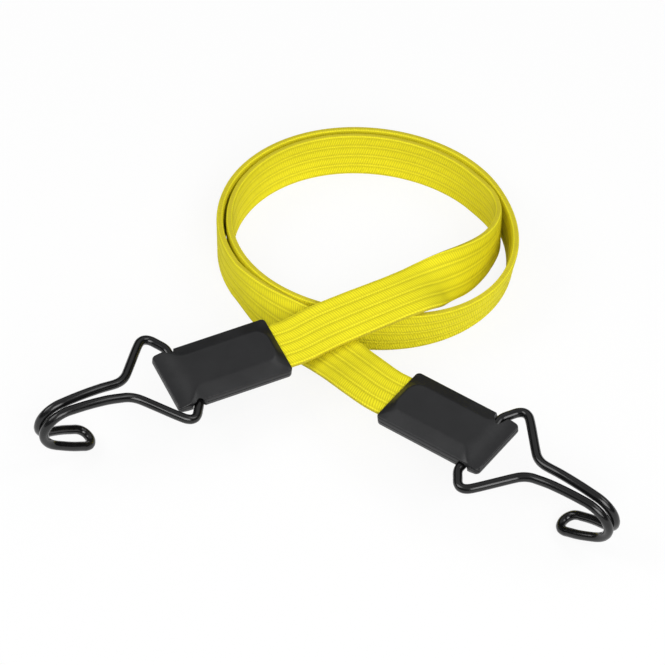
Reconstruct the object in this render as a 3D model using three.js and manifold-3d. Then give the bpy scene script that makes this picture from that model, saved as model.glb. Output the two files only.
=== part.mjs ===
// A flat elastic strap lying in two turns on edge, with a moulded cap and a double wire hook at each end.
// Millimetres, +Z up, the floor at Z = 0. Each cap has its own frame: U from the mouth to the hook edge,
// V across the strap, W up through the cap.
import * as THREE from 'three';
import { mergeVertices } from 'three/addons/utils/BufferGeometryUtils.js';
import Module from 'manifold-3d';

const wasm = await Module();
wasm.setup();

// Clearances
const fit = 0.3;
const socketPlay = 0.8;
const socketFlare = 1.6;
const hookSlide = 1.5;
const cutMargin = 1;

// Strap
const strapWidth = 18;
const strapThickness = 2.4;
const ribCount = 4;
const ribDepth = 0.4;
const ribCrest = 0.6;
const edgeFlat = 1.5;
const edgeChamfer = 0.5;

// Turns on edge: a flat spiral whose radius grows by one step a turn and is a little oval
const coilCentre = new THREE.Vector2(12, 36.4);
const coilRadius = 43.5;
const turnStep = 3.3;
const ovalness = 2.7;
const ovalAngle = -17;
const coilStart = 40;
const coilEnd = 560;

// The outer turn leans out where the top strap crosses it
const leanAngle = 15;
const leanMiddle = 318;
const leanSpan = 62;

// Rubber strands and clamp at the strap's ends
const gripLength = 24;
const coreDiameter = 1.0;
const coreDepth = 21;
const clampLength = 9;
const clampWidth = 17;
const clampSheet = 0.6;

// Cap
const capLength = 41.4;
const capSideWall = 2.4;
const capRoof = 1.3;
const cornerRadius = 1.6;
const rimRound = 0.35;
const slopeRise = 1.95;
const slopeWidth = 5.5;
const panelCorner = 4;
const panelInset = 2.8;
const panelRound = 0.3;
const flareStart = 8;
const flareEnd = 1.8;
const flareEdge = 0.8;
const scoopLength = 10;
const hookEdgeHeight = 1.3;
const pinDiameter = 2.4;
const pinHeight = 1.8;
const pinSpacing = 7;

// Wire hook
const wireDiameter = 3.2;
const pivotInset = 6.7;
const stubDepth = 6.5;
const shoulderReach = 5;
const shoulderOverhang = 8;
const shoulderRadius = 4.5;
const apexReach = 21;
const apexHalf = 3.2;
const apexRadius = 10;
const shankReach = 44.2;
const shankDrop = 1.9;
const shankBow = 0.95;
const bendRadius = 8.4;
const bendTurn = 150;
const returnLength = 12.5;
const legGap = 0.5;
const legEase = 0.8;
const openFrom = 0.55;
const tipRadius = 3.7;

// Where each cap lies: the middle of its mouth, its turn, and how its hook sits in it, with a shift along V.
// The tail points give the strap's middle and its roll from flat, in degrees.
const ends = {
  left: {
    mouth: [-18, -22.1, 16.2], yaw: 206, pitch: 1.2, roll: -7.4,
    hookLift: 13.8, hookTilt: -2, hookSwing: 3.7, hookShift: -1.2,
    tail: [
      [-3.6, -14.7, 17.6, 10], [6.9, -10.4, 19.5, 8.5], [16.6, -6.3, 20.8, 6.5], [24, -3, 21.6, 6],
      [30.2, 1.2, 20.6, 12], [36.2, 7, 17.5, 36], [44.8, 15.9, 14.4, 70], [53, 27, 12, 87],
      [57, 38.8, 10.4, 90], [55.6, 48.9, 9.6, 90],
    ],
  },
  right: {
    mouth: [21.2, -47, 18.5], yaw: -37.9, pitch: 2.8, roll: 3.9,
    hookLift: 4.7, hookTilt: 5.2, hookSwing: -0.4, hookShift: -1.2,
    tail: [
      [-26.5, 6.8, 9.4, 83], [-20.5, -0.3, 9.7, 72], [-13.1, -7.9, 10.3, 52], [-4.5, -16.5, 11.7, 24],
      [1.9, -24.5, 13.4, 9.6], [10, -36.1, 17.1, 6],
    ],
  },
};
const leadOut = 6;
const seamLead = 7;

// Steps, sides and points of the curved forms. The apex's rounding replaces the shank's first points.
const coilSteps = 64;
const tailStepsPerPoint = 2;
const cornerSteps = 4;
const sideShares = [0.4, 0.78, 0.85, 0.9, 0.94, 0.97];
const scoopSteps = 8;
const clampSegments = 3;
const socketSides = 16;
const pinSides = 12;
const boreSides = 8;
const cornerPoints = 5;
const shankPoints = 8;
const apexPoints = 3;
const bendPoints = 12;
const returnPoints = 8;
const tipTurns = [30, 60, 90];
const wireSegments = 5;
const hookSteps = 110;

// The frame's origin on the floor, under the middle of the two caps and hooks
const frameOrigin = new THREE.Vector2(-2.7, -57.6);

// Sizes that follow from those above
const ribPitch = strapWidth / ribCount;
const boreDiameter = coreDiameter + 2 * fit;
const clampGap = strapThickness + 2 * fit;
const capWidth = strapWidth + 2 * (fit + capSideWall);
const capThickness = clampGap + 2 * (clampSheet + fit + capRoof);
const rimTop = capThickness / 2 - slopeRise;
const legHalf = (wireDiameter + legGap) / 2;
const pivotAt = capLength - pivotInset;
const pocketEnd = gripLength + clampSheet + 2 * fit;

const rad = THREE.MathUtils.degToRad;
const smooth = (x) => THREE.MathUtils.smoothstep(x, 0, 1);

// Materials, one for each piece so that a piece can be changed alone
const finish = (color, roughness, metalness) =>
  new THREE.MeshStandardMaterial({ color, roughness, metalness });
const strapMaterial = () => finish(0xe6dc14, 0.85, 0);
const capMaterial = () => finish(0x1c1d1f, 0.45, 0);
const wireMaterial = () => finish(0x101010, 0.3, 0);
const sheetMaterial = () => finish(0x9a9c9e, 0.4, 1);
const coreMaterial = () => finish(0xcdbb8a, 0.9, 0);

function named(name, geometry, material) {
  const mesh = new THREE.Mesh(geometry, material);
  mesh.name = name;
  return mesh;
}

// A closed skin over equal rings; outline is the flat shape of a ring and closes both ends.
function loft(rings, outline) {
  const count = outline.length;
  const index = [];
  for (let ring = 0; ring + 1 < rings.length; ring++) {
    for (let i = 0; i < count; i++) {
      const a = ring * count + i;
      const b = ring * count + (i + 1) % count;
      index.push(a, b, b + count, a, b + count, a + count);
    }
  }
  const last = (rings.length - 1) * count;
  for (const [i, j, k] of THREE.ShapeUtils.triangulateShape(outline, [])) {
    index.push(i, k, j, last + i, last + j, last + k);
  }
  const geometry = new THREE.BufferGeometry().setFromPoints(rings.flat());
  geometry.setIndex(index);
  return geometry;
}

// Joins and cuts
function solid(geometry) {
  const bare = geometry.clone();
  bare.deleteAttribute('normal');
  bare.deleteAttribute('uv');
  const merged = mergeVertices(bare, 1e-4);
  const vertProperties = new Float32Array(merged.attributes.position.array);
  const triVerts = new Uint32Array(merged.index.array);
  return new wasm.Manifold(new wasm.Mesh({ numProp: 3, vertProperties, triVerts }));
}

function geometryOf(manifold) {
  const mesh = manifold.getMesh();
  const geometry = new THREE.BufferGeometry();
  geometry.setAttribute('position', new THREE.BufferAttribute(mesh.vertProperties, 3));
  geometry.setIndex(new THREE.BufferAttribute(mesh.triVerts, 1));
  return geometry;
}

function cut(geometry, tools) {
  return geometryOf(tools.reduce((body, tool) => body.subtract(solid(tool)), solid(geometry)));
}

function block(u0, u1, halfWidth, halfHeight) {
  const geometry = new THREE.BoxGeometry(u1 - u0, 2 * halfWidth, 2 * halfHeight);
  return geometry.translate((u0 + u1) / 2, 0, 0);
}

// A round bar along U
function bar(u0, u1, diameter, v, sides) {
  const geometry = new THREE.CylinderGeometry(diameter / 2, diameter / 2, u1 - u0, sides);
  return geometry.rotateZ(-Math.PI / 2).translate((u0 + u1) / 2, v, 0);
}

// Strap section: x across the width, y through the thickness, each rib flat-topped with a valley between
function strapSection() {
  const half = strapWidth / 2;
  const side = [new THREE.Vector2(-half, edgeFlat / 2)];
  side.push(new THREE.Vector2(-half + edgeChamfer, strapThickness / 2 - ribDepth));
  for (let rib = 0; rib < ribCount; rib++) {
    const middle = -half + (rib + 0.5) * ribPitch;
    const crest = ribCrest * ribPitch / 2;
    side.push(new THREE.Vector2(middle - crest, strapThickness / 2));
    side.push(new THREE.Vector2(middle + crest, strapThickness / 2));
    if (rib + 1 < ribCount) {
      side.push(new THREE.Vector2(middle + ribPitch / 2, strapThickness / 2 - ribDepth));
    }
  }
  side.push(new THREE.Vector2(half - edgeChamfer, strapThickness / 2 - ribDepth));
  side.push(new THREE.Vector2(half, edgeFlat / 2));
  const lower = side.map((p) => new THREE.Vector2(p.x, -p.y));
  return lower.concat(side.reverse());
}

const section = strapSection();

// One ring of the strap: roll turns its width from level, far edge up, as seen along its run
function strapRing(middle, tangent, roll) {
  const level = new THREE.Vector3(-tangent.y, tangent.x, 0).normalize();
  const above = new THREE.Vector3().crossVectors(tangent, level);
  const across = level.multiplyScalar(Math.cos(rad(roll))).addScaledVector(above, Math.sin(rad(roll)));
  const through = new THREE.Vector3().crossVectors(tangent, across);
  return section.map((p) => middle.clone().addScaledVector(across, p.x).addScaledVector(through, p.y));
}

// The spiral's foot on the floor, and how far the turn leans out there
function coilFoot(angle) {
  const radius = coilRadius + turnStep * angle / 360 + ovalness * Math.cos(rad(2 * (angle - ovalAngle)));
  const out = new THREE.Vector3(Math.cos(rad(angle)), Math.sin(rad(angle)), 0);
  return new THREE.Vector3(coilCentre.x, coilCentre.y, 0).addScaledVector(out, radius);
}

function coilLean(angle) {
  const reach = THREE.MathUtils.clamp((angle - leanMiddle) / leanSpan, -1, 1);
  return leanAngle * Math.cos(reach * Math.PI / 2) ** 2;
}

function coilMiddle(angle) {
  const lean = rad(coilLean(angle));
  const out = new THREE.Vector3(Math.cos(rad(angle)), Math.sin(rad(angle)), 0);
  const height = strapWidth / 2 * Math.cos(lean) + edgeFlat / 2 * Math.sin(lean);
  return coilFoot(angle).addScaledVector(out, strapWidth / 2 * Math.sin(lean)).setZ(height);
}

function coilTangent(angle) {
  return coilFoot(angle + 0.5).sub(coilFoot(angle - 0.5)).normalize();
}

function coilRing(angle) {
  return strapRing(coilMiddle(angle), coilTangent(angle), 90 + coilLean(angle));
}

function coilGeometry() {
  const rings = [];
  for (let step = 0; step <= coilSteps; step++) {
    rings.push(coilRing(THREE.MathUtils.lerp(coilStart, coilEnd, step / coilSteps)));
  }
  return loft(rings, section);
}

// Least distance between the surfaces of neighbouring turns, measured on rings one turn apart
function leastGap() {
  let least = Infinity;
  for (let angle = coilStart; angle + 360 <= coilEnd; angle += 2) {
    const [inner, outer] = [angle, angle + 360].map(coilRing);
    for (const p of inner) {
      for (const q of outer) {
        least = Math.min(least, p.distanceTo(q));
      }
    }
  }
  return least;
}

// A tail's rings along its points, two steps from each to the next
function tailRings(points, rolls, first, last) {
  const route = new THREE.CatmullRomCurve3(points);
  const turn = new THREE.SplineCurve(rolls.map((roll, i) => new THREE.Vector2(i, roll)));
  const steps = (last - first) * tailStepsPerPoint;
  const rings = [];
  for (let step = 0; step <= steps; step++) {
    const t = (first + step / tailStepsPerPoint) / (points.length - 1);
    rings.push(strapRing(route.getPoint(t), route.getTangent(t), turn.getPoint(t).y));
  }
  return rings;
}

function capFrame(end) {
  const frame = new THREE.Group();
  frame.position.fromArray(end.mouth);
  frame.rotation.set(rad(end.roll), -rad(end.pitch), rad(end.yaw), 'ZYX');
  frame.updateMatrix();
  return frame;
}

const ribMiddles = Array.from({ length: ribCount }, (_, i) => (i + 0.5 - ribCount / 2) * ribPitch);

// The strands' bores, in the cap's frame
function coreBores(frame) {
  return ribMiddles.map((v) => {
    const bore = bar(gripLength - coreDepth, gripLength + fit, boreDiameter, v, boreSides);
    return bore.applyMatrix4(frame.matrix);
  });
}

// The left tail runs from its cap onto the coil's start, the right one from the coil's end into its cap.
// Each meets the coil square, on the spiral itself, with a gap between the two faces.
function tailSolid(side, frame) {
  const end = ends[side];
  const along = (u) => new THREE.Vector3(u, 0, 0).applyMatrix4(frame.matrix);
  const free = end.tail.map(([x, y, z]) => new THREE.Vector3(x, y, z));
  const rolls = end.tail.map((point) => point[3]);
  const inCap = [gripLength, gripLength / 2, 0, -leadOut].map(along);
  const inCapRolls = inCap.map(() => (side === 'left' ? -end.roll : end.roll));
  const seam = THREE.MathUtils.radToDeg(fit / coilRadius);
  let rings;
  if (side === 'left') {
    const landing = [seamLead, seam, -seamLead].map((a) => coilMiddle(coilStart - a));
    const points = [...inCap, ...free, ...landing];
    const onEdge = landing.map(() => 90);
    rings = tailRings(points, [...inCapRolls, ...rolls, ...onEdge], 0, points.length - 2);
    rings[rings.length - 1] = coilRing(coilStart - seam);
  } else {
    const start = [-seamLead, seam, seamLead].map((a) => coilMiddle(coilEnd + a));
    const points = [...start, ...free, ...inCap.reverse()];
    const onEdge = start.map(() => 90);
    rings = tailRings(points, [...onEdge, ...rolls, ...inCapRolls], 1, points.length - 1);
    rings[0] = coilRing(coilEnd + seam);
  }
  return cut(loft(rings, section), coreBores(frame));
}

// Cap outline, counter-clockwise from above: mouth end, +V side, hook end, -V side.
// The rim and the panel have the same count of points, so that they can be skinned together.
function cornerArc(u, v, radius, from) {
  const points = [];
  for (let step = 0; step <= cornerSteps; step++) {
    const turn = rad(from + 90 * step / cornerSteps);
    points.push(new THREE.Vector2(u + radius * Math.cos(turn), v + radius * Math.sin(turn)));
  }
  return points;
}

function rimOutline(inset) {
  const radius = cornerRadius - inset;
  const half = capWidth / 2 - inset;
  const near = cornerRadius;
  const far = capLength - cornerRadius;
  const side = sideShares.map((share) => THREE.MathUtils.lerp(near, far, share));
  return [
    ...cornerArc(near, -half + radius, radius, 180),
    ...side.map((u) => new THREE.Vector2(u, -half)),
    ...cornerArc(far, -half + radius, radius, 270),
    ...cornerArc(far, half - radius, radius, 0),
    ...side.toReversed().map((u) => new THREE.Vector2(u, half)),
    ...cornerArc(near, half - radius, radius, 90),
  ];
}

// The raised panel: round-cornered at the mouth, flaring to the full width before the hook edge
function panelHalf(u) {
  const narrow = capWidth / 2 - slopeWidth;
  const wide = capWidth / 2 - flareEdge;
  const share = (u - (capLength - flareStart)) / (flareStart - flareEnd);
  return THREE.MathUtils.lerp(narrow, wide, smooth(share));
}

function panelOutline(grow) {
  const radius = panelCorner;
  const near = panelInset + radius;
  const far = capLength - cornerRadius;
  const narrow = panelHalf(0);
  const wide = panelHalf(capLength);
  const corner = cornerRadius - flareEdge;
  const side = sideShares.map((share) => THREE.MathUtils.lerp(near, far, share));
  return [
    ...cornerArc(near, -narrow + radius, radius + grow, 180),
    ...side.map((u) => new THREE.Vector2(u, -panelHalf(u) - grow)),
    ...cornerArc(far, -wide + corner, corner + grow, 270),
    ...cornerArc(far, wide - corner, corner + grow, 0),
    ...side.toReversed().map((u) => new THREE.Vector2(u, panelHalf(u) + grow)),
    ...cornerArc(near, narrow - radius, radius + grow, 90),
  ];
}

// Upper half of the cap as a lofted block, from the parting plane to the panel
function capBlock() {
  const top = capThickness / 2;
  const layers = [
    [rimOutline(0), fit / 2],
    [rimOutline(0), rimTop - rimRound],
    [rimOutline(rimRound), rimTop],
    [panelOutline(panelRound), top - panelRound * slopeRise / slopeWidth],
    [panelOutline(0), top],
  ];
  const rings = layers.map(([outline, w]) => outline.map((p) => new THREE.Vector3(p.x, p.y, w)));
  return loft(rings, rimOutline(0));
}

// The scoop across the hook end: a soft fall from the panel that meets the edge level
function scoopCutter() {
  const top = capThickness / 2;
  const start = capLength - scoopLength;
  const shape = new THREE.Shape();
  shape.moveTo(start, top + cutMargin);
  for (let step = 0; step <= scoopSteps; step++) {
    const share = step / scoopSteps;
    shape.lineTo(start + scoopLength * share, THREE.MathUtils.lerp(top, hookEdgeHeight, smooth(share)));
  }
  shape.lineTo(capLength + cutMargin, hookEdgeHeight);
  shape.lineTo(capLength + cutMargin, top + cutMargin);
  const depth = capWidth + 2 * cutMargin;
  const geometry = new THREE.ExtrudeGeometry(shape, { depth, bevelEnabled: false });
  return geometry.translate(0, 0, -depth / 2).rotateX(Math.PI / 2);
}

// Open notches in the side walls for the wire's ends; they widen outwards, so that the hook can rock
function socketCutter(side) {
  const inner = wireDiameter / 2 + socketPlay;
  const outer = wireDiameter / 2 + socketFlare;
  const depth = stubDepth + hookSlide + fit + cutMargin;
  const radii = side > 0 ? [outer, inner] : [inner, outer];
  const geometry = new THREE.CylinderGeometry(...radii, depth, socketSides);
  return geometry.translate(pivotAt, side * (capWidth / 2 + cutMargin - depth / 2), 0);
}

// The pins stand midway between the clamp's pocket and the sockets
function locatingPin(side, diameter, height) {
  const geometry = new THREE.CylinderGeometry(diameter / 2, diameter / 2, 2 * height, pinSides);
  const u = (pocketEnd + pivotAt - wireDiameter / 2 - socketPlay) / 2;
  return geometry.rotateX(Math.PI / 2).translate(u, side * pinSpacing / 2, 0);
}

function capHollows() {
  const pocket = pocketEnd - clampLength - 2 * fit;
  return [
    block(-cutMargin, pocketEnd, strapWidth / 2 + fit, strapThickness / 2 + fit),
    block(pocket, pocketEnd, clampWidth / 2 + fit, clampGap / 2 + clampSheet + fit),
    socketCutter(1),
    socketCutter(-1),
    scoopCutter(),
  ];
}

function capTop() {
  const holes = [1, -1].map((side) => locatingPin(side, pinDiameter + 2 * fit, pinHeight + fit));
  return cut(capBlock(), [...capHollows(), ...holes]);
}

function capBottom() {
  const shell = cut(capBlock(), capHollows()).rotateX(Math.PI);
  const pins = [1, -1].map((side) => solid(locatingPin(side, pinDiameter, pinHeight)));
  return geometryOf(pins.reduce((body, pin) => body.add(pin), solid(shell)));
}

// A sheet bent to a U over the strap's end
function clampGeometry() {
  const web = gripLength + fit;
  const mouth = web + clampSheet - clampLength;
  const inner = clampGap / 2;
  const outer = inner + clampSheet;
  const shape = new THREE.Shape();
  shape.moveTo(mouth, inner);
  shape.lineTo(web, inner);
  shape.lineTo(web, -inner);
  shape.lineTo(mouth, -inner);
  shape.lineTo(mouth, -outer);
  shape.lineTo(web, -outer);
  shape.quadraticCurveTo(web + clampSheet, -outer, web + clampSheet, -inner);
  shape.lineTo(web + clampSheet, inner);
  shape.quadraticCurveTo(web + clampSheet, outer, web, outer);
  shape.lineTo(mouth, outer);
  const settings = { depth: clampWidth, bevelEnabled: false, curveSegments: clampSegments };
  const geometry = new THREE.ExtrudeGeometry(shape, settings);
  return geometry.rotateX(Math.PI / 2).translate(0, clampWidth / 2, 0);
}

// A corner of the wire rounded to a radius, as points from its first to its last tangent point
function roundCorner(before, corner, after, radius) {
  const a = before.clone().sub(corner).normalize();
  const b = after.clone().sub(corner).normalize();
  const reach = radius / Math.tan(a.angleTo(b) / 2);
  const from = corner.clone().addScaledVector(a, reach);
  const to = corner.clone().addScaledVector(b, reach);
  return new THREE.QuadraticBezierCurve3(from, corner, to).getPoints(cornerPoints);
}

// Side view of the hook beyond the apex: a bowed shank, a bend down and back, and a straight return
function hookProfile() {
  const from = new THREE.Vector2(apexReach, 0);
  const to = new THREE.Vector2(shankReach, -shankDrop);
  const bow = from.clone().lerp(to, 0.5).add(new THREE.Vector2(0, 2 * shankBow));
  const shank = new THREE.QuadraticBezierCurve(from, bow, to);
  const heading = Math.atan2(to.y - bow.y, to.x - bow.x);
  const down = heading - Math.PI / 2;
  const centre = new THREE.Vector2(to.x + bendRadius * Math.cos(down), to.y + bendRadius * Math.sin(down));
  const start = heading + Math.PI / 2;
  const stop = start - rad(bendTurn);
  const bend = new THREE.EllipseCurve(centre.x, centre.y, bendRadius, bendRadius, start, stop, true);
  const leave = heading - rad(bendTurn);
  const foot = bend.getPoint(1);
  const tip = new THREE.Vector2(Math.cos(leave), Math.sin(leave)).multiplyScalar(returnLength).add(foot);
  return { shank, bend, back: new THREE.LineCurve(foot, tip), tip, leave };
}

// The hook beyond the apex, on one side: its legs close along the shank and open again to the tip
function hookStations(side, { shank, bend, back }) {
  const shankRun = shank.getLength();
  const spread = shankRun + openFrom * bend.getLength();
  const total = shankRun + bend.getLength() + back.getLength();
  const stations = [];
  let run = 0;
  for (const [curve, count] of [[shank, shankPoints], [bend, bendPoints], [back, returnPoints]]) {
    const length = curve.getLength();
    curve.getSpacedPoints(count).forEach((p, i) => {
      if (i === 0 && run > 0) return;
      const s = run + length * i / count;
      const close = THREE.MathUtils.lerp(apexHalf, legHalf, Math.min(s / shankRun, 1) ** legEase);
      const open = smooth((s - spread) / (total - tipRadius - spread)) * (tipRadius - legHalf);
      stations.push(new THREE.Vector3(p.x, side * (close + open), p.y));
    });
    run += length;
  }
  return stations;
}

// Half of the hook's wire, from its end in the cap to the middle of its tip
function hookHalf(side) {
  const profile = hookProfile();
  const { tip, leave } = profile;
  const shoulder = new THREE.Vector3(shoulderReach, side * (capWidth / 2 + shoulderOverhang), 0);
  const apex = new THREE.Vector3(apexReach, side * apexHalf, 0);
  const stubEnd = new THREE.Vector3(0, side * (capWidth / 2 - stubDepth), 0);
  const stubMiddle = new THREE.Vector3(0, side * (capWidth / 2 - stubDepth / 2), 0);
  const stubMouth = new THREE.Vector3(0, side * (capWidth / 2 + fit), 0);
  const points = [stubEnd, stubMiddle, stubMouth, ...roundCorner(stubMouth, shoulder, apex, shoulderRadius)];
  const stations = hookStations(side, profile);
  points.push(...roundCorner(points.at(-1), apex, stations[apexPoints + 1], apexRadius));
  points.push(...stations.slice(apexPoints));
  for (const turn of tipTurns) {
    const ahead = tipRadius * Math.sin(rad(turn));
    const across = side * tipRadius * Math.cos(rad(turn));
    points.push(new THREE.Vector3(tip.x + ahead * Math.cos(leave), across, tip.y + ahead * Math.sin(leave)));
  }
  return points;
}

function hookGeometry() {
  const points = [...hookHalf(1), ...hookHalf(-1).reverse().slice(1)];
  const extrudePath = new THREE.CatmullRomCurve3(points);
  const round = new THREE.Shape().absarc(0, 0, wireDiameter / 2, 0, 2 * Math.PI, false);
  const settings = { steps: hookSteps, extrudePath, bevelEnabled: false, curveSegments: wireSegments };
  return new THREE.ExtrudeGeometry(round, settings);
}

function endAssembly(side) {
  const end = ends[side];
  const cap = capFrame(end);
  cap.add(named(`${side}_cap_top`, capTop(), capMaterial()));
  cap.add(named(`${side}_cap_bottom`, capBottom(), capMaterial()));
  cap.add(named(`${side}_clamp`, clampGeometry(), sheetMaterial()));
  ribMiddles.forEach((v, i) => {
    const core = bar(gripLength - coreDepth + fit, gripLength, coreDiameter, v, boreSides);
    cap.add(named(`${side}_core_${i + 1}`, core, coreMaterial()));
  });
  const pivot = new THREE.Group();
  pivot.position.set(pivotAt, end.hookShift, 0);
  pivot.rotation.set(rad(end.hookTilt), -rad(end.hookLift), rad(end.hookSwing), 'ZYX');
  pivot.add(named(`${side}_hook`, hookGeometry(), wireMaterial()));
  cap.add(pivot);
  const group = new THREE.Group();
  group.add(cap, named(`${side}_tail`, tailSolid(side, cap), strapMaterial()));
  return group;
}

console.log(`strap_coil: least gap between turns ${leastGap().toFixed(2)} mm`);

const bungee = new THREE.Group();
bungee.add(named('strap_coil', coilGeometry(), strapMaterial()));
bungee.add(endAssembly('left'), endAssembly('right'));
bungee.position.set(-frameOrigin.x, -frameOrigin.y, 0);

export default bungee;
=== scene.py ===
import math
from math import radians

import bmesh
import bpy
from mathutils import Matrix, Vector


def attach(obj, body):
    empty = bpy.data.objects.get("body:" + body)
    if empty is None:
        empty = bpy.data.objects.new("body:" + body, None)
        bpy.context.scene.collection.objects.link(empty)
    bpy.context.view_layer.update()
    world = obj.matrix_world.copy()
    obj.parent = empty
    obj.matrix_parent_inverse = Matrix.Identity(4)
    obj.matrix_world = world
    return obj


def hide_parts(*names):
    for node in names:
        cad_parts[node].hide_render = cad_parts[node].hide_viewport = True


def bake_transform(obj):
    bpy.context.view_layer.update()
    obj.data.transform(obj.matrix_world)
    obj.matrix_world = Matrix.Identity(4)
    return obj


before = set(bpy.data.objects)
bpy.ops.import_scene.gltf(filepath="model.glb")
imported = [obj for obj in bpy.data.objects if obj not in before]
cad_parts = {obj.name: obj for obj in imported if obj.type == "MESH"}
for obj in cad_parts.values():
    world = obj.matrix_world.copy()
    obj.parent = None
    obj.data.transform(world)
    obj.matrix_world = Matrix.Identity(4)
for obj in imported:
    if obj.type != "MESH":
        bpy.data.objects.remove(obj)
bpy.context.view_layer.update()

scene = bpy.context.scene
scene.view_settings.view_transform = "Standard"


def mix(a, b, share):
    return a + (b - a) * share


def smoothStep(x):
    x = min(max(x, 0), 1)
    return x * x * (3 - 2 * x)


def swell(x, middle, span):
    # 1 at the middle, easing to 0 at a span on either side
    reach = min(abs(x - middle) / span, 1)
    return math.cos(reach * math.pi / 2) ** 2


# curves through given points; share counts whole points

def throughPoints(points, share):
    # knots are spaced by the root of the distance, so the curve doesn't overshoot
    last = len(points) - 1
    i = min(int(share), last - 1)
    t = share - i
    p1, p2 = points[i], points[i + 1]
    p0 = points[i - 1] if i > 0 else p1 * 2 - p2
    p3 = points[i + 2] if i + 2 <= last else p2 * 2 - p1
    d1 = (p2 - p1).length ** 0.5
    d0 = (p1 - p0).length ** 0.5 or d1
    d2 = (p3 - p2).length ** 0.5 or d1
    m1 = ((p1 - p0) / d0 - (p2 - p0) / (d0 + d1) + (p2 - p1) / d1) * d1
    m2 = ((p2 - p1) / d1 - (p3 - p1) / (d1 + d2) + (p3 - p2) / d2) * d1
    return p1 + m1 * t + (p2 * 3 - p1 * 3 - m1 * 2 - m2) * t ** 2 + (p1 * 2 - p2 * 2 + m1 + m2) * t ** 3


def throughValues(values, share):
    last = len(values) - 1
    i = min(int(share), last - 1)
    t = share - i
    a, b = values[i], values[i + 1]
    m1 = (b - values[max(i - 1, 0)]) / 2
    m2 = (values[min(i + 2, last)] - a) / 2
    return a + m1 * t + (3 * b - 3 * a - 2 * m1 - m2) * t ** 2 + (2 * a - 2 * b + m1 + m2) * t ** 3


# flat elastic strap, in metres: full ribs along it, with a thin bound thread in each valley between two
strap = {
    "width": 0.018, "thickness": 0.0024, "ribs": 4, "ribDepth": 0.00035, "ribFullness": 3,
    "edgeThickness": 0.0015, "edgeRound": 0.0009, "edgeBulge": 0.00015,
    "valleyThread": 0.00012, "threadShare": 0.2,  # the thread's height, and its share of half a rib
    "pointsPerRib": 20, "edgePoints": 6, "crease": 60, "merge": 1e-7,
}


def strapSection():
    # (across, through) round the strap, from one edge over the upper face and back under
    half, top = strap["width"] / 2, strap["thickness"] / 2
    pitch = strap["width"] / strap["ribs"]
    edge = strap["edgeThickness"] / 2
    thread = strap["threadShare"]
    count = strap["ribs"] * strap["pointsPerRib"]
    upper = []
    for i in range(count + 1):
        x = half - strap["width"] * i / count
        fromCrest = abs((x / pitch) % 1 - 0.5) * 2
        height = top - strap["ribDepth"] * fromCrest ** strap["ribFullness"]
        height += strap["valleyThread"] * smoothStep((fromCrest - 1 + thread) / thread)
        toEdge = half - abs(x)
        if toEdge < strap["edgeRound"]:
            height = mix(edge, height, (1 - (1 - toEdge / strap["edgeRound"]) ** 2) ** 0.5)
        upper.append((x, height))
    side = []
    for i in range(1, strap["edgePoints"]):
        turn = math.pi * i / strap["edgePoints"]
        side.append((strap["edgeBulge"] * math.sin(turn), edge * math.cos(turn)))
    lower = [(x, -y) for x, y in reversed(upper)]
    return (upper + [(-half - dx, y) for dx, y in side] + lower
            + [(half + dx, -y) for dx, y in side])


section = strapSection()


def strapRing(middle, along, roll, draw=0):
    # draw takes the right-hand edge in, as an elastic strap does where it is twisted
    level = Vector((-along.y, along.x, 0)).normalized()
    above = along.cross(level)
    across = level * math.cos(radians(roll)) + above * math.sin(radians(roll))
    through = along.cross(across)
    rightShare = 1 - draw / (strap["width"] / 2)
    return middle, [middle + across * (x if x > 0 else x * rightShare) + through * y for x, y in section]


# turns on edge, angles in degrees: a flat spiral, a little oval, that leans out under the crossing strap
coil = {
    "centre": (0.0147, 0.094), "radius": 0.0435, "turnStep": 0.0033, "ovalness": 0.0027, "ovalAngle": -17,
    "start": 40, "end": 560, "leftSeam": 90, "rightSeam": 520, "degreesPerRing": 2, "tangentStep": 0.5,
    "roll": 90, "lean": 15, "leanMiddle": 318, "leanSpan": 62,
}


def coilFoot(angle):
    radius = coil["radius"] + coil["turnStep"] * angle / 360
    radius += coil["ovalness"] * math.cos(radians(2 * (angle - coil["ovalAngle"])))
    x, y = coil["centre"]
    return Vector((x + radius * math.cos(radians(angle)), y + radius * math.sin(radians(angle)), 0))


def coilLean(angle):
    return coil["lean"] * swell(angle, coil["leanMiddle"], coil["leanSpan"])


def coilMiddle(angle):
    lean = radians(coilLean(angle))
    out = Vector((math.cos(radians(angle)), math.sin(radians(angle)), 0))
    middle = coilFoot(angle) + out * (strap["width"] / 2 * math.sin(lean))
    middle.z = strap["width"] / 2 * math.cos(lean) + strap["edgeThickness"] / 2 * math.sin(lean)
    return middle


def coilRing(angle):
    step = coil["tangentStep"]
    along = (coilFoot(angle + step) - coilFoot(angle - step)).normalized()
    return strapRing(coilMiddle(angle), along, coil["roll"] + coilLean(angle))


def coilRings(start, stop):
    count = round(abs(stop - start) / coil["degreesPerRing"])
    return [coilRing(mix(start, stop, i / count)) for i in range(count + 1)]


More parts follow.
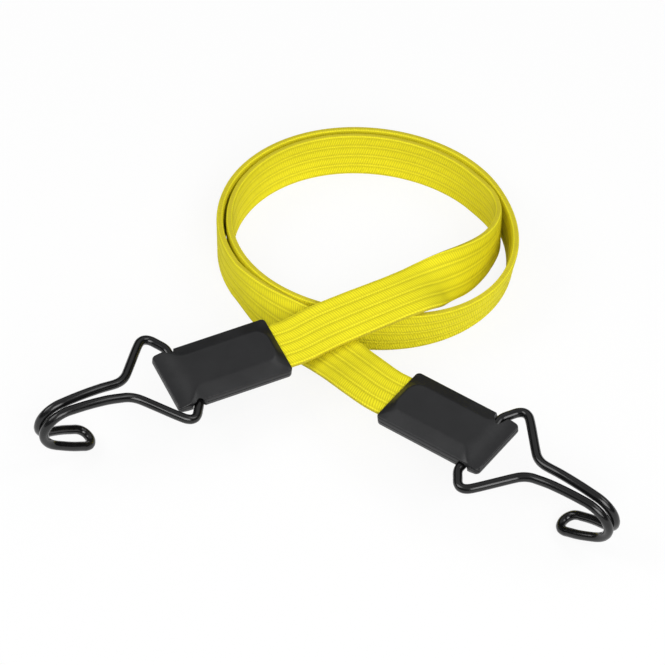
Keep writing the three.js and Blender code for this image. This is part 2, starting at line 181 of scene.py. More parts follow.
# where each cap lies, how its hook sits in it, and the strap's own points with their roll from flat;
# the strap stretches between the last two places
ends = {
    "left": {
        "mouth": (-0.0153, 0.0355, 0.0162), "yaw": 206, "pitch": 1.2, "roll": -7.4, "strapRoll": 7.4,
        "hookLift": 13.8, "hookTilt": -2, "hookSwing": 3.7, "hookShift": -0.0012,
        "tail": [
            (-0.0009, 0.0429, 0.0176, 10), (0.0096, 0.0472, 0.0195, 8.5), (0.0193, 0.0513, 0.0208, 6.5),
            (0.0267, 0.0546, 0.0216, 6), (0.0329, 0.0588, 0.0206, 12), (0.0389, 0.0646, 0.0175, 36),
            (0.0475, 0.0735, 0.0144, 70), (0.0557, 0.0846, 0.012, 87), (0.0597, 0.0964, 0.0104, 90),
            (0.0583, 0.1065, 0.0096, 90),
        ],
        "stretchFrom": (0.0329, 0.0588, 0.0206), "stretchTo": (-0.0104, 0.0379, 0.0161),
    },
    "right": {
        "mouth": (0.0239, 0.0106, 0.0185), "yaw": -37.9, "pitch": 2.8, "roll": 3.9, "strapRoll": 3.9,
        "hookLift": 4.7, "hookTilt": 5.2, "hookSwing": -0.4, "hookShift": -0.0012,
        "tail": [
            (-0.0238, 0.0644, 0.0094, 83), (-0.0178, 0.0573, 0.0097, 72), (-0.0104, 0.0497, 0.0103, 52),
            (-0.0018, 0.0411, 0.0117, 24), (0.0046, 0.0331, 0.0134, 9.6), (0.0127, 0.0215, 0.0171, 6),
        ],
        "stretchFrom": (-0.0178, 0.0573, 0.0097), "stretchTo": (0.0196, 0.0139, 0.0182),
    },
}

# grip is the length inside a cap, seamLead the degrees of coil that lead a tail in and out of the turns
tailRoute = {
    "grip": 0.024, "leadOut": 0.006, "seamLead": 7, "seamGap": 0.0003,
    "ringsPerPoint": 7, "tangentStep": 0.02,
}

# the left strap's near edge draws in where it turns on edge; at and span count the route's points
twist = {"drawIn": 0.0015, "at": 9.25, "span": 1.3}


def capFrame(end):
    turn = Matrix.Rotation(radians(end["yaw"]), 4, "Z") @ Matrix.Rotation(-radians(end["pitch"]), 4, "Y")
    return Matrix.Translation(end["mouth"]) @ turn @ Matrix.Rotation(radians(end["roll"]), 4, "X")


def routeRings(points, rolls, first, last, drawIn):
    rings = []
    count = (last - first) * tailRoute["ringsPerPoint"]
    step = tailRoute["tangentStep"]
    for i in range(count + 1):
        share = first + i / tailRoute["ringsPerPoint"]
        ahead = throughPoints(points, min(share + step, len(points) - 1))
        behind = throughPoints(points, max(share - step, 0))
        along = (ahead - behind).normalized()
        draw = drawIn * swell(share, twist["at"], twist["span"])
        rings.append(strapRing(throughPoints(points, share), along, throughValues(rolls, share), draw))
    return rings


def tailRings(side):
    end = ends[side]
    place = capFrame(end)
    depths = (tailRoute["grip"], tailRoute["grip"] / 2, 0, -tailRoute["leadOut"])
    inCap = [place @ Vector((u, 0, 0)) for u in depths]
    inCapRolls = [end["strapRoll"]] * len(inCap)
    free = [Vector(point[:3]) for point in end["tail"]]
    rolls = [point[3] for point in end["tail"]]
    lead, seam = tailRoute["seamLead"], math.degrees(tailRoute["seamGap"] / coil["radius"])
    joinTurns = (lead, seam, -lead)
    onEdge = [coil["roll"]] * len(joinTurns)
    if side == "left":
        points = inCap + free + [coilMiddle(coil["start"] - turn) for turn in joinTurns]
        rings = routeRings(points, inCapRolls + rolls + onEdge, 0, len(points) - 2, twist["drawIn"])
        return rings[:-1] + coilRings(coil["start"], coil["leftSeam"])
    points = [coilMiddle(coil["end"] + turn) for turn in reversed(joinTurns)] + free + inCap[::-1]
    rings = routeRings(points, onEdge + rolls + inCapRolls, 1, len(points) - 1, 0)
    return coilRings(coil["rightSeam"], coil["end"]) + rings[1:]


def objectFrom(bm, name, material):
    mesh = bpy.data.meshes.new(name)
    bm.to_mesh(mesh)
    bm.free()
    piece = bpy.data.objects.new(name, mesh)
    scene.collection.objects.link(piece)
    mesh.materials.append(material)
    return piece


def sharpen(bm, degrees):
    for face in bm.faces:
        face.smooth = True
    for edge in bm.edges:
        edge.smooth = len(edge.link_faces) == 2 and edge.calc_face_angle(0) < radians(degrees)


def strapPiece(name, rings, runStart, material):
    # a grid rolled round the section and laid along the rings; its map is (run, across) in metres
    columns, rows = len(section), len(rings)
    bm = bmesh.new()
    clothMap = bm.loops.layers.uv.new("strapCloth")
    bmesh.ops.create_grid(bm, x_segments=columns, y_segments=rows - 1, size=1)
    bm.verts.ensure_lookup_table()
    runs, run = [], runStart
    for i, (middle, _) in enumerate(rings):
        run += (middle - rings[i - 1][0]).length if i else 0
        runs.append(run)
    spot = {}
    for row, (_, ring) in enumerate(rings):
        for column in range(columns + 1):
            vert = bm.verts[row * (columns + 1) + column]
            vert.co = ring[column % columns]
            spot[vert] = (runs[row], section[column % columns][0])
    for face in bm.faces:
        for loop in face.loops:
            loop[clothMap].uv = spot[loop.vert]
    bmesh.ops.remove_doubles(bm, verts=bm.verts, dist=strap["merge"])
    openEdges = [edge for edge in bm.edges if edge.is_boundary]
    bmesh.ops.holes_fill(bm, edges=openEdges, sides=0)
    bmesh.ops.recalc_face_normals(bm, faces=bm.faces)
    sharpen(bm, strap["crease"])
    return objectFrom(bm, name, material), [middle for middle, _ in rings], run


# moulded cap in two shells, in its own frame: u from the mouth to the hook edge, v across, w up
cap = {
    "length": 0.0414, "width": 0.0234, "thickness": 0.0074, "corner": 0.0016, "parting": 0.00015,
    "slopeRise": 0.00195, "slopeWidth": 0.0055, "rimRound": 0.0004,
    "panelCorner": 0.004, "panelInset": 0.0028, "panelSoft": 0.00035,
    "flareStart": 0.008, "flareEnd": 0.0018, "flareEdge": 0.0008,
    "scoopLength": 0.01, "hookEdge": 0.0013, "scoopSoft": 0.0003,
    "cellsAlong": 130, "cellsAcross": 76, "edgeCrowd": 0.6, "crease": 35, "hairline": 1e-6, "merge": 1e-7,
    "slot": (-0.001, 0.0252, 0.0186, 0.003),  # from, to, width, height; it starts outside the mouth
    "pocket": (0.0156, 0.0252, 0.0176, 0.0048),
    "pivotInset": 0.0067, "socketInner": 0.0019, "socketOuter": 0.0027,
    "socketDepth": 0.0068, "socketReach": 0.002, "socketSides": 40,
    "pinRadius": 0.0012, "holeRadius": 0.0015, "pinHeight": 0.0018, "holeHeight": 0.0021,
    "pinAt": 0.02875, "pinSpacing": 0.007, "pinSides": 32,
}


def panelHalf(u):
    narrow, wide = cap["width"] / 2 - cap["slopeWidth"], cap["width"] / 2 - cap["flareEdge"]
    flare = (u - (cap["length"] - cap["flareStart"])) / (cap["flareStart"] - cap["flareEnd"])
    return mix(narrow, wide, smoothStep(flare))


def insideOutline(u, v):
    # distance in from the cap's round-cornered outline
    corner = cap["corner"]
    qu = abs(u - cap["length"] / 2) - (cap["length"] / 2 - corner)
    qv = abs(v) - (cap["width"] / 2 - corner)
    return corner - math.hypot(max(qu, 0), max(qv, 0)) - min(max(qu, qv), 0)


def outsidePanel(u, v):
    # distance out from the raised panel, which runs on past the hook edge
    corner = cap["panelCorner"]
    qu = cap["panelInset"] + corner - u
    qv = abs(v) - (panelHalf(u) - corner)
    return math.hypot(max(qu, 0), max(qv, 0)) + min(max(qu, qv), 0) - corner


def capHeight(u, v):
    top = cap["thickness"] / 2
    inside = max(insideOutline(u, v), 0)
    outside = outsidePanel(u, v)
    outside = (outside + math.hypot(outside, cap["panelSoft"])) / 2
    # no fall on the panel, and the whole of it at the outline
    height = top - cap["slopeRise"] * outside / (outside + inside + cap["hairline"])
    fall = (u - (cap["length"] - cap["scoopLength"])) / cap["scoopLength"]
    if fall > 0:
        scoop = mix(top, cap["hookEdge"], smoothStep(fall))
        soft = cap["scoopSoft"] * smoothStep(2 * fall)  # full from half way down
        height = (height + scoop - math.hypot(height - scoop, soft)) / 2
    rim = cap["rimRound"]
    if inside < rim:
        height -= rim - math.sqrt(rim ** 2 - (rim - inside) ** 2)
    return height


def crowded(share):
    # more cells near both edges, where the surface turns over
    return share - cap["edgeCrowd"] * math.sin(2 * math.pi * share) / (2 * math.pi)


def roundedCorner(u, v):
    # the corner squares of the grid become quarter rounds
    corner = cap["corner"]
    pu = abs(u - cap["length"] / 2) - (cap["length"] / 2 - corner)
    pv = abs(v) - (cap["width"] / 2 - corner)
    if pu <= 0 or pv <= 0:
        return u, v
    reach = max(pu, pv)
    turn = math.pi / 4 * (pv / pu if pu >= pv else 2 - pu / pv)
    signU = 1 if u > cap["length"] / 2 else -1
    signV = 1 if v > 0 else -1
    du = reach * math.cos(turn) - pu
    dv = reach * math.sin(turn) - pv
    return u + signU * du, v + signV * dv


def capShell():
    # a unit grid pulled to the cap's upper surface, with a wall down to the parting line
    bm = bmesh.new()
    bmesh.ops.create_grid(bm, x_segments=cap["cellsAlong"], y_segments=cap["cellsAcross"], size=0.5)
    for vert in bm.verts:
        u = cap["length"] * crowded(vert.co.x + 0.5)
        v = cap["width"] * (crowded(vert.co.y + 0.5) - 0.5)
        u, v = roundedCorner(u, v)
        vert.co = (u, v, capHeight(u, v))
    rimEdges = [edge for edge in bm.edges if edge.is_boundary]
    wall = bmesh.ops.extrude_edge_only(bm, edges=rimEdges)["geom"]
    foot = [item for item in wall if isinstance(item, bmesh.types.BMVert)]
    for vert in foot:
        vert.co.z = cap["parting"]
    footEdges = [edge for edge in bm.edges if edge.is_boundary]
    bmesh.ops.holes_fill(bm, edges=footEdges, sides=0)
    bmesh.ops.recalc_face_normals(bm, faces=bm.faces)
    return bm


def boxTool(start, stop, width, height):
    bm = bmesh.new()
    bmesh.ops.create_cube(bm, size=1)
    bmesh.ops.scale(bm, vec=(stop - start, width, height), verts=bm.verts)
    bmesh.ops.translate(bm, vec=((start + stop) / 2, 0, 0), verts=bm.verts)
    return bm


def socketTool(side, seat):
    # lies along the hook's own seat and widens outwards, so that the shoulder can swing
    bm = bmesh.new()
    inner = cap["width"] / 2 - cap["socketDepth"]
    outer = cap["width"] / 2 + cap["socketReach"]
    bmesh.ops.create_cone(bm, cap_ends=True, segments=cap["socketSides"], depth=outer - inner,
                          radius1=cap["socketOuter"], radius2=cap["socketInner"])
    bmesh.ops.rotate(bm, matrix=Matrix.Rotation(side * math.pi / 2, 3, "X"), verts=bm.verts)
    bmesh.ops.translate(bm, vec=(0, side * (inner + outer) / 2, 0), verts=bm.verts)
    bmesh.ops.transform(bm, matrix=seat, verts=bm.verts)
    return bm


def pinTool(side, radius, height):
    bm = bmesh.new()
    bmesh.ops.create_cone(bm, cap_ends=True, segments=cap["pinSides"], depth=2 * height,
                          radius1=radius, radius2=radius)
    bmesh.ops.translate(bm, vec=(cap["pinAt"], side * cap["pinSpacing"] / 2, 0), verts=bm.verts)
    return bm


def carve(piece, tools, operation):
    for bm in tools:
        mesh = bpy.data.meshes.new("tool")
        bm.to_mesh(mesh)
        bm.free()
        tool = bpy.data.objects.new("tool", mesh)
        scene.collection.objects.link(tool)
        step = piece.modifiers.new("carve", "BOOLEAN")
        step.operation = operation
        step.object = tool
        step.solver = "EXACT"
    bpy.context.view_layer.update()
    shown = piece.evaluated_get(bpy.context.evaluated_depsgraph_get())
    carved = bpy.data.meshes.new_from_object(shown)
    used = [step.object for step in piece.modifiers]
    piece.modifiers.clear()
    for tool in used:
        bpy.data.meshes.remove(tool.data)  # takes the tool with it
    piece.data = carved


def capPiece(name, place, seat, material, under):
    # both shells are carved as upper ones; the under one is then turned over
    piece = objectFrom(capShell(), name, material)
    if under:
        seat = Matrix.Rotation(math.pi, 4, "X") @ seat
    hollows = [boxTool(*cap["slot"]), boxTool(*cap["pocket"])]
    carve(piece, hollows + [socketTool(1, seat), socketTool(-1, seat)], "DIFFERENCE")
    if under:
        carve(piece, [pinTool(side, cap["pinRadius"], cap["pinHeight"]) for side in (1, -1)], "UNION")
    else:
        carve(piece, [pinTool(side, cap["holeRadius"], cap["holeHeight"]) for side in (1, -1)], "DIFFERENCE")
    bm = bmesh.new()
    bm.from_mesh(piece.data)
    if under:
        bmesh.ops.rotate(bm, matrix=Matrix.Rotation(math.pi, 3, "X"), verts=bm.verts)
    bmesh.ops.transform(bm, matrix=place, verts=bm.verts)
    bmesh.ops.remove_doubles(bm, verts=bm.verts, dist=cap["merge"])
    sharpen(bm, cap["crease"])
    bm.to_mesh(piece.data)
    bm.free()
    return piece


# wire hook, in the frame of its seat: x away from the cap, y along the two stubs, z up
hook = {
    "wire": 0.0032, "stubDepth": 0.0065, "stubGap": 0.0003, "stubShares": (1, 0.5),
    "shoulderReach": 0.005, "shoulderOverhang": 0.008, "shoulderRadius": 0.0045,
    "apexReach": 0.021, "apexHalf": 0.0032, "apexRadius": 0.01, "apexPoints": 3,
    "shankReach": 0.0442, "shankDrop": 0.0019, "shankBow": 0.00095, "bendRadius": 0.0084, "bendTurn": 150,
    "returnLength": 0.0125, "legGap": 0.0005, "legEase": 0.8, "openFrom": 0.55, "tipRadius": 0.0037,
    "tipTurns": (30, 60, 90), "cornerPoints": 5, "shankPoints": 8, "bendPoints": 12, "returnPoints": 8,
    "ringsPerPoint": 6, "sides": 24, "crease": 50, "merge": 1e-6,
}


def hookSeat(end):
    # in the cap's frame; the hook lies a little shifted and turned in its notches
    seat = Matrix.Translation((cap["length"] - cap["pivotInset"], end["hookShift"], 0))
    seat = seat @ Matrix.Rotation(radians(end["hookSwing"]), 4, "Z")
    seat = seat @ Matrix.Rotation(-radians(end["hookLift"]), 4, "Y")
    return seat @ Matrix.Rotation(radians(end["hookTilt"]), 4, "X")


def bezier(start, control, stop, count):
    points = []
    for i in range(count + 1):
        t = i / count
        points.append(start * (1 - t) ** 2 + control * 2 * t * (1 - t) + stop * t ** 2)
    return points


def roundCorner(before, corner, after, radius):
    a, b = (before - corner).normalized(), (after - corner).normalized()
    reach = radius / math.tan(a.angle(b) / 2)
    return bezier(corner + a * reach, corner, corner + b * reach, hook["cornerPoints"])


def hookSide():
    # side view beyond the apex: bowed shank, bend down and back, straight return
    start = Vector((hook["apexReach"], 0))
    stop = Vector((hook["shankReach"], -hook["shankDrop"]))
    bow = (start + stop) / 2 + Vector((0, 2 * hook["shankBow"]))
    heading = math.atan2(stop.y - bow.y, stop.x - bow.x)
    radius, bendTurn = hook["bendRadius"], radians(hook["bendTurn"])
    centre = stop + Vector((math.sin(heading), -math.cos(heading))) * radius
    points = bezier(start, bow, stop, hook["shankPoints"])
    for i in range(1, hook["bendPoints"] + 1):
        turn = heading + math.pi / 2 - bendTurn * i / hook["bendPoints"]
        points.append(centre + Vector((math.cos(turn), math.sin(turn))) * radius)
    foot = points[-1]
    way = Vector((math.cos(heading - bendTurn), math.sin(heading - bendTurn)))
    for i in range(1, hook["returnPoints"] + 1):
        points.append(foot + way * hook["returnLength"] * i / hook["returnPoints"])
    return points, way


def hookStations(side, profile):
    # the legs close along the shank and open again to the tip
    runs = [0]
    for a, b in zip(profile, profile[1:]):
        runs.append(runs[-1] + (b - a).length)
    shankRun = runs[hook["shankPoints"]]
    bendRun = runs[hook["shankPoints"] + hook["bendPoints"]] - shankRun
    spread = shankRun + hook["openFrom"] * bendRun
    legHalf = (hook["wire"] + hook["legGap"]) / 2
    stations = []
    for point, run in zip(profile, runs):
        close = mix(hook["apexHalf"], legHalf, min(run / shankRun, 1) ** hook["legEase"])
        opening = smoothStep((run - spread) / (runs[-1] - hook["tipRadius"] - spread))
        half = close + (hook["tipRadius"] - legHalf) * opening
        stations.append(Vector((point.x, side * half, point.y)))
    return stations


def hookHalf(side):
    # from the end of one stub to the middle of the tip
    profile, way = hookSide()
    wide = cap["width"] / 2
    shoulder = Vector((hook["shoulderReach"], side * (wide + hook["shoulderOverhang"]), 0))
    apex = Vector((hook["apexReach"], side * hook["apexHalf"], 0))
    points = [Vector((0, side * (wide - hook["stubDepth"] * share), 0)) for share in hook["stubShares"]]
    points.append(Vector((0, side * (wide + hook["stubGap"]), 0)))
    points += roundCorner(points[-1], shoulder, apex, hook["shoulderRadius"])
    stations = hookStations(side, profile)
    points += roundCorner(points[-1], apex, stations[hook["apexPoints"] + 1], hook["apexRadius"])
    points += stations[hook["apexPoints"]:]
    for turn in hook["tipTurns"]:
        ahead = way * hook["tipRadius"] * math.sin(radians(turn))
        across = side * hook["tipRadius"] * math.cos(radians(turn))
        points.append(Vector((profile[-1].x + ahead.x, across, profile[-1].y + ahead.y)))
    return points


def hookPiece(name, place, material):
    points = hookHalf(1) + hookHalf(-1)[::-1][1:]
    count = (len(points) - 1) * hook["ringsPerPoint"]
    line = [place @ throughPoints(points, i / hook["ringsPerPoint"]) for i in range(count + 1)]
    curve = bpy.data.curves.new(name, "CURVE")
    curve.dimensions = "3D"
    curve.bevel_depth = hook["wire"] / 2
    curve.bevel_resolution = hook["sides"] // 4 - 1  # points inside each quarter of the round
    curve.use_fill_caps = True
    spline = curve.splines.new("POLY")
    spline.points.add(len(line) - 1)
    for spot, point in zip(spline.points, line):
        spot.co = (*point, 1)
    wire = bpy.data.objects.new(name + "Line", curve)
    scene.collection.objects.link(wire)
    bpy.context.view_layer.update()
    mesh = bpy.data.meshes.new_from_object(wire.evaluated_get(bpy.context.evaluated_depsgraph_get()))
    bpy.data.objects.remove(wire)
    bm = bmesh.new()
    bm.from_mesh(mesh)
    bpy.data.meshes.remove(mesh)
    bmesh.ops.remove_doubles(bm, verts=bm.verts, dist=hook["merge"])
    bmesh.ops.recalc_face_normals(bm, faces=bm.faces)
    sharpen(bm, hook["crease"])
    return objectFrom(bm, name, material)


# nodes that the finishes share

def startMaterial(name):
    material = bpy.data.materials.new(name)
    material.use_nodes = True
    nodes = material.node_tree.nodes
    return material, nodes, material.node_tree.links, nodes["Principled BSDF"]


def mathNode(nodes, links, operation, first, second=None, clamp=False):
    node = nodes.new("ShaderNodeMath")
    node.operation = operation
    node.use_clamp = clamp
    for socket, value in zip(node.inputs, (first, second)):
        if isinstance(value, (int, float)):
            socket.default_value = value
        elif value is not None:
            links.new(value, socket)
    return node.outputs[0]


def mixColours(nodes, links, share, first, second, blend="MIX"):
    node = nodes.new("ShaderNodeMix")
    node.data_type = "RGBA"
    node.blend_type = blend
    sockets = (node.inputs[0], node.inputs[6], node.inputs[7])  # factor, and the two colours
    for socket, value in zip(sockets, (share, first, second)):
        if isinstance(value, float):
            socket.default_value = value
        elif isinstance(value, tuple):
            socket.default_value = (*value, 1)
        else:
            links.new(value, socket)
    return node.outputs[2]  # the mixed colour


def noiseNode(nodes, links, vector, scale, detail, roughness):
    node = nodes.new("ShaderNodeTexNoise")
    node.inputs["Scale"].default_value = scale
    node.inputs["Detail"].default_value = detail
    node.inputs["Roughness"].default_value = roughness
    links.new(vector, node.inputs["Vector"])
    return node.outputs["Fac"]


def rangeNode(nodes, links, value, fromLow, fromHigh, toLow=0.0, toHigh=1.0):
    node = nodes.new("ShaderNodeMapRange")
    names = ("From Min", "From Max", "To Min", "To Max")
    for name, number in zip(names, (fromLow, fromHigh, toLow, toHigh)):
        node.inputs[name].default_value = number
    links.new(value, node.inputs["Value"])
    return node.outputs[0]


def bumpInto(nodes, links, shader, height, finish):
    bump = nodes.new("ShaderNodeBump")
    bump.inputs["Strength"].default_value = finish["bump"]
    bump.inputs["Distance"].default_value = finish["relief"]
    links.new(height, bump.inputs["Height"])
    links.new(bump.outputs["Normal"], shader.inputs["Normal"])


# knitted cover of the strap; here and below a fade is (from, to), and a noise is (scale, detail, roughness)
cloth = {
    "thread": (0.88, 0.795, 0.016), "between": (0.62, 0.54, 0.009),
    "stitch": 0.00085, "slant": 1.7, "stitchRound": 0.8,
    "bound": (0.94, 0.855, 0.026), "boundFade": (0.117, 0.054), "boundLeast": 0.35, "boundStitch": 0.5,
    # the valley colour is painted shade between the ribs
    "valleyShade": (0.55, 0.475, 0.009), "valleyShadeFade": (0.34, 0.108), "valleyShadeShare": 0.6,
    # the edge colour is painted shade along the strap's side edges
    "edge": (0.50, 0.415, 0.022), "edgeShadeFade": (0.00902, 0.00912), "edgeShadeShare": 0.75,
    "lint": (1.0, 2.0, 0.5), "lintStretch": (900, 5200, 1), "patches": (60.0, 3.0, 0.5),
    "shadeFade": (0.6, 1.4), "shade": (0.92, 1.06), "roughness": 0.8, "specular": 0.2,
    "lintRelief": 0.35, "bump": 0.6, "relief": 0.00015,
}


def yellowCloth():
    material, nodes, links, shader = startMaterial("yellowCloth")
    uv = nodes.new("ShaderNodeUVMap")
    uv.uv_map = "strapCloth"
    split = nodes.new("ShaderNodeSeparateXYZ")
    links.new(uv.outputs["UV"], split.inputs[0])
    run, across = split.outputs[0], split.outputs[1]

    def calc(operation, first, second=None):
        return mathNode(nodes, links, operation, first, second)

    # across: fromValley is 0 in the valley between two ribs and 0.5 on the crest
    inRib = calc("FRACT", calc("MULTIPLY", across, strap["ribs"] / strap["width"]))
    fromValley = calc("SUBTRACT", 0.5, calc("ABSOLUTE", calc("SUBTRACT", inRib, 0.5)))
    bound = rangeNode(nodes, links, fromValley, *cloth["boundFade"])
    valleyShade = rangeNode(nodes, links, fromValley, *cloth["valleyShadeFade"])
    # along: slanted stitches on the ribs, short square ones on the bound threads
    lean = calc("MULTIPLY", calc("MULTIPLY", inRib, cloth["slant"]), calc("SUBTRACT", 1.0, bound))
    stitch = calc("FRACT", calc("ADD", calc("MULTIPLY", run, 1 / cloth["stitch"]), lean))
    height = calc("SINE", calc("MULTIPLY", stitch, math.pi))
    height = calc("POWER", height, cloth["stitchRound"])
    fibres = nodes.new("ShaderNodeMapping")
    fibres.inputs["Scale"].default_value = cloth["lintStretch"]
    links.new(uv.outputs["UV"], fibres.inputs["Vector"])
    lint = noiseNode(nodes, links, fibres.outputs[0], *cloth["lint"])
    patches = noiseNode(nodes, links, uv.outputs["UV"], *cloth["patches"])
    # colour: stitches, painted shade in the valleys, the bound threads, painted shade on the side edges, and
    # uneven dye over all
    colour = mixColours(nodes, links, height, cloth["between"], cloth["thread"])
    # painted shade: the valleys between ribs are darkened in the colour
    valleyShade = calc("MULTIPLY", valleyShade, cloth["valleyShadeShare"])
    colour = mixColours(nodes, links, valleyShade, colour, cloth["valleyShade"])
    shine = calc("ADD", calc("MULTIPLY", height, cloth["boundStitch"]), cloth["boundLeast"])
    colour = mixColours(nodes, links, calc("MULTIPLY", bound, shine), colour, cloth["bound"])
    # painted shade: the side edges are darkened in the colour, most in their middle
    edge = rangeNode(nodes, links, calc("ABSOLUTE", across), *cloth["edgeShadeFade"], 0.0, cloth["edgeShadeShare"])
    colour = mixColours(nodes, links, edge, colour, cloth["edge"])
    shade = rangeNode(nodes, links, calc("ADD", lint, patches), *cloth["shadeFade"], *cloth["shade"])
    grey = nodes.new("ShaderNodeCombineColor")
    for socket in grey.inputs:
        links.new(shade, socket)
    colour = mixColours(nodes, links, 1.0, colour, grey.outputs[0], "MULTIPLY")
    links.new(colour, shader.inputs["Base Color"])
    shader.inputs["Roughness"].default_value = cloth["roughness"]
    shader.inputs["Specular IOR Level"].default_value = cloth["specular"]
    relief = calc("ADD", height, calc("MULTIPLY", lint, cloth["lintRelief"]))
    bumpInto(nodes, links, shader, relief, cloth)
    return material


def mottle(nodes, links, shader, flow, finish):
    # colour and gloss change slowly over the surface
    worn = rangeNode(nodes, links, flow, *finish["wornFade"])
    colour = mixColours(nodes, links, worn, finish["colour"], finish["worn"])
    links.new(colour, shader.inputs["Base Color"])
    gloss = rangeNode(nodes, links, flow, *finish["roughFade"], *finish["roughness"])
    links.new(gloss, shader.inputs["Roughness"])
    shader.inputs["Specular IOR Level"].default_value = finish["specular"]


plastic = {
    "colour": (0.0115, 0.0117, 0.0126), "worn": (0.0165, 0.0167, 0.0178), "wornFade": (0.35, 0.7),
    "roughness": (0.29, 0.37), "roughFade": (0.3, 0.7), "specular": 0.38,
    "grain": (4200.0, 2.0, 0.6), "flow": (90.0, 4.0, 0.55), "flowRelief": 1.5,
    "bump": 0.25, "relief": 0.00005,
}


def charcoalPlastic():
    material, nodes, links, shader = startMaterial("charcoalPlastic")
    place = nodes.new("ShaderNodeTexCoord").outputs["Object"]
    grain = noiseNode(nodes, links, place, *plastic["grain"])
    flow = noiseNode(nodes, links, place, *plastic["flow"])
    mottle(nodes, links, shader, flow, plastic)
    waves = mathNode(nodes, links, "MULTIPLY", flow, plastic["flowRelief"])
    bumpInto(nodes, links, shader, mathNode(nodes, links, "ADD", grain, waves), plastic)
    return material


coating = {
    "colour": (0.0035, 0.0035, 0.0038), "worn": (0.007, 0.007, 0.0075), "wornFade": (0.35, 0.7),
    "roughness": (0.14, 0.22), "roughFade": (0.3, 0.7), "specular": 0.45,
    "peel": (900.0, 2.0, 0.5), "flow": (140.0, 4.0, 0.5), "bump": 0.2, "relief": 0.00008,
}


def blackCoating():
    material, nodes, links, shader = startMaterial("blackCoating")
    place = nodes.new("ShaderNodeTexCoord").outputs["Object"]
    peel = noiseNode(nodes, links, place, *coating["peel"])
    flow = noiseNode(nodes, links, place, *coating["flow"])
    mottle(nodes, links, shader, flow, coating)
    bumpInto(nodes, links, shader, peel, coating)
    return material


# inside the caps: sheet-steel clamps, and the latex strands that they grip
inner = {"streak": (700.0, 3.0, 0.5), "bump": 0.15, "relief": 0.00005}
steel = {"colour": (0.55, 0.56, 0.57), "darker": (0.4, 0.4, 0.41), "roughness": 0.35, "metallic": 1.0}
latex = {"colour": (0.62, 0.5, 0.3), "darker": (0.5, 0.4, 0.24), "roughness": 0.7, "metallic": 0.0}


def innerFinish(name, finish):
    material, nodes, links, shader = startMaterial(name)
    place = nodes.new("ShaderNodeTexCoord").outputs["Object"]
    streak = noiseNode(nodes, links, place, *inner["streak"])
    colour = mixColours(nodes, links, streak, finish["darker"], finish["colour"])
    links.new(colour, shader.inputs["Base Color"])
    shader.inputs["Roughness"].default_value = finish["roughness"]
    shader.inputs["Metallic"].default_value = finish["metallic"]
    bumpInto(nodes, links, shader, streak, inner)
    return material


# stage: white paper floor, pale room, three soft lamps
stage = {
    "floor": 12.0, "floorHeight": -0.0002, "aim": (0.0, 0.05, 0.01),
    "paper": (0.9, 0.9, 0.9), "paperRoughness": 0.9, "paperSpecular": 0.0, "shadow": 0.12,
    "lamps": {
        "leftBox": {"place": (-1.05, 0.1, 0.9), "size": 0.7, "watts": 5.5},
        "rightBox": {"place": (1.0, 0.1, 1.1), "size": 0.7, "watts": 4.0},
        "front": {"place": (0.3, -1.1, 0.8), "size": 0.9, "watts": 14.5},
    },
    "sky": ((0.0, 0.02), (0.46, 0.03), (0.64, 0.66), (1.0, 0.45)),  # height of the direction, and its level
}


def whiteFloor():
    bm = bmesh.new()
    bmesh.ops.create_grid(bm, x_segments=1, y_segments=1, size=stage["floor"])
    bmesh.ops.translate(bm, vec=(0, 0, stage["floorHeight"]), verts=bm.verts)
    material, nodes, links, shader = startMaterial("whitePaper")
    shader.inputs["Base Color"].default_value = (*stage["paper"], 1)
    shader.inputs["Roughness"].default_value = stage["paperRoughness"]
    shader.inputs["Specular IOR Level"].default_value = stage["paperSpecular"]
    # seen directly or in gloss, the paper is white but for a share of the shadow
    glow = nodes.new("ShaderNodeEmission")
    path = nodes.new("ShaderNodeLightPath")
    seen = mathNode(nodes, links, "ADD", path.outputs["Is Camera Ray"], path.outputs["Is Glossy Ray"])
    seen = mathNode(nodes, links, "ADD", seen, path.outputs["Is Transmission Ray"], clamp=True)
    share = mathNode(nodes, links, "MULTIPLY", seen, 1 - stage["shadow"])
    blend = nodes.new("ShaderNodeMixShader")
    links.new(share, blend.inputs[0])
    links.new(shader.outputs[0], blend.inputs[1])
    links.new(glow.outputs[0], blend.inputs[2])
    links.new(blend.outputs[0], nodes["Material Output"].inputs["Surface"])
    floor = objectFrom(bm, "floor", material)


def softLight(name, place, size, watts):
    lamp = bpy.data.lights.new(name, "AREA")
    lamp.shape = "SQUARE"
    lamp.size = size
    lamp.energy = watts
    light = bpy.data.objects.new(name, lamp)
    scene.collection.objects.link(light)
    light.location = place
    light.rotation_euler = (Vector(stage["aim"]) - Vector(place)).to_track_quat("-Z", "Y").to_euler()


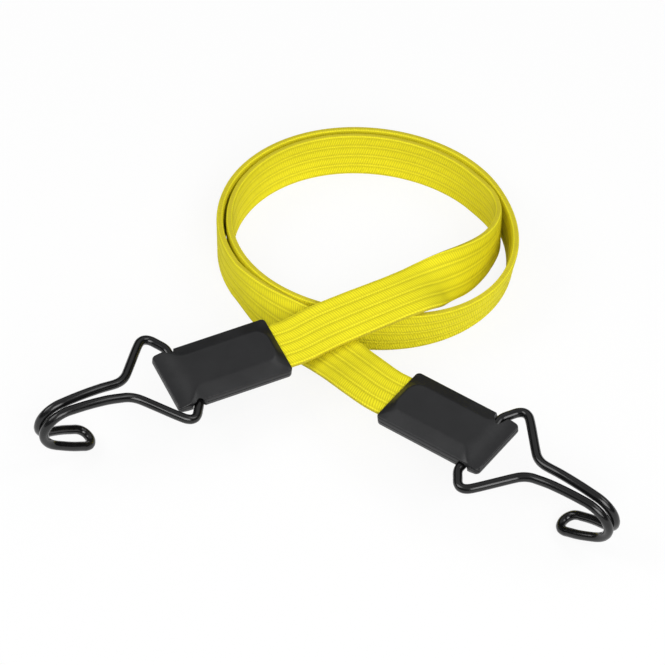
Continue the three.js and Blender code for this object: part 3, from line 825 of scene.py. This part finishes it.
def paleRoom():
    # dim low down, brightest at about 40 degrees up, a little less overhead
    world = bpy.data.worlds.new("paleRoom")
    world.use_nodes = True
    nodes, links = world.node_tree.nodes, world.node_tree.links
    direction = nodes.new("ShaderNodeTexCoord").outputs["Generated"]
    split = nodes.new("ShaderNodeSeparateXYZ")
    links.new(direction, split.inputs[0])
    ramp = nodes.new("ShaderNodeValToRGB")
    links.new(split.outputs[2], ramp.inputs[0])
    steps = ramp.color_ramp.elements
    while len(steps) < len(stage["sky"]):
        steps.new(0.5)  # anywhere; its place is set below
    for step, (height, level) in zip(steps, stage["sky"]):
        step.position = height
        step.color = (level, level, level, 1)
    links.new(ramp.outputs[0], nodes["Background"].inputs["Color"])
    scene.world = world


# the photograph's view: camera height over the floor in degrees, and the point it looks at
view = {"elevation": 46.3, "distance": 1.316, "lens": 209.5, "target": (0.0027, 0.0576, 0.0), "clipEnd": 50}


def photographCamera():
    data = bpy.data.cameras.new("camera")
    data.lens = view["lens"]
    data.clip_end = view["clipEnd"]
    camera = bpy.data.objects.new("camera", data)
    scene.collection.objects.link(camera)
    rise = radians(view["elevation"])
    back = Vector((0, -math.cos(rise), math.sin(rise))) * view["distance"]
    camera.location = Vector(view["target"]) + back
    camera.rotation_euler = (math.pi / 2 - rise, 0, 0)
    scene.camera = camera


photographCamera()
whiteFloor()
paleRoom()
for name, lamp in stage["lamps"].items():
    softLight(name, **lamp)
print("stage set")

yellow, charcoal, black = yellowCloth(), charcoalPlastic(), blackCoating()
turns = coilRings(coil["leftSeam"], coil["rightSeam"])
leftStrap, leftPath, run = strapPiece("leftStrap", tailRings("left"), 0.0, yellow)
coilStrap, coilPath, run = strapPiece("coilStrap", turns, run, yellow)
rightStrap, rightPath, run = strapPiece("rightStrap", tailRings("right"), run, yellow)
print("strap length", round(run, 4))

for piece, node in ((leftStrap, "left_tail"), (coilStrap, "strap_coil"), (rightStrap, "right_tail")):
    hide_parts(node)
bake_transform(leftStrap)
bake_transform(rightStrap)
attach(coilStrap, "strap")
print("cords laid")

for side, end in ends.items():
    place, seat = capFrame(end), hookSeat(end)
    for half, under in (("top", False), ("bottom", True)):
        shell = capPiece(side + "Cap" + half.capitalize(), place, seat, charcoal, under)
        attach(shell, side + "_end")
        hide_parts(f"{side}_cap_{half}")
    wire = hookPiece(side + "Hook", place @ seat, black)
    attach(wire, side + "_hook")
    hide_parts(side + "_hook")
    print(side, "end dressed")

clampFinish, strandFinish = innerFinish("sheetSteel", steel), innerFinish("latex", latex)
for name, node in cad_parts.items():
    if "_clamp" in name or "_core_" in name:
        node.data.materials.clear()
        node.data.materials.append(clampFinish if "_clamp" in name else strandFinish)
print("inner pieces finished")
